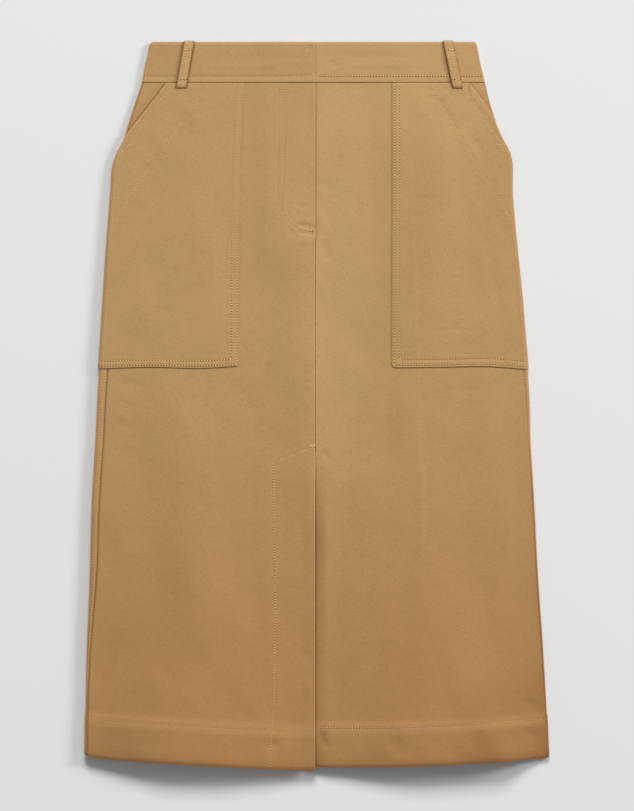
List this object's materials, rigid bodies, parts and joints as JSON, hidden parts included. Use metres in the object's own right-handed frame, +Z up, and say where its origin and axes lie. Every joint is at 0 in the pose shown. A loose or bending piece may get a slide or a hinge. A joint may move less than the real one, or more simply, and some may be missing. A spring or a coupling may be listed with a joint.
{
  "type": "cargo utility skirt",
  "caption": "Midi utility skirt in tan cotton twill with slanted patch pockets, a fly, a front vent and belt loops, laid flat on its back.",
  "frame": {"origin": "on the surface that the skirt lies on, under the middle of its box", "axes": "+Z up from the surface, +Y towards the waist, +X to the right of the skirt seen from above"},
  "size_m": [0.511, 0.8019, 0.0183],
  "materials": {
    "twill_back": "matt cotton twill with tone-on-tone stitching",
    "twill_front": "matt cotton twill with tone-on-tone stitching",
    "twill_pocket": "matt cotton twill with tone-on-tone stitching",
    "twill_waistband": "matt cotton twill with tone-on-tone stitching",
    "twill_belt_loop": "matt cotton twill with tone-on-tone stitching"
  },
  "bodies": {
    "root": {"back_panel": "twill_back", "front_left_panel": "twill_front", "front_right_panel": "twill_front", "pocket_left": "twill_pocket", "pocket_right": "twill_pocket", "waistband": "twill_waistband", "belt_loop_left": "twill_belt_loop", "belt_loop_right": "twill_belt_loop"}
  },
  "joints": []
}
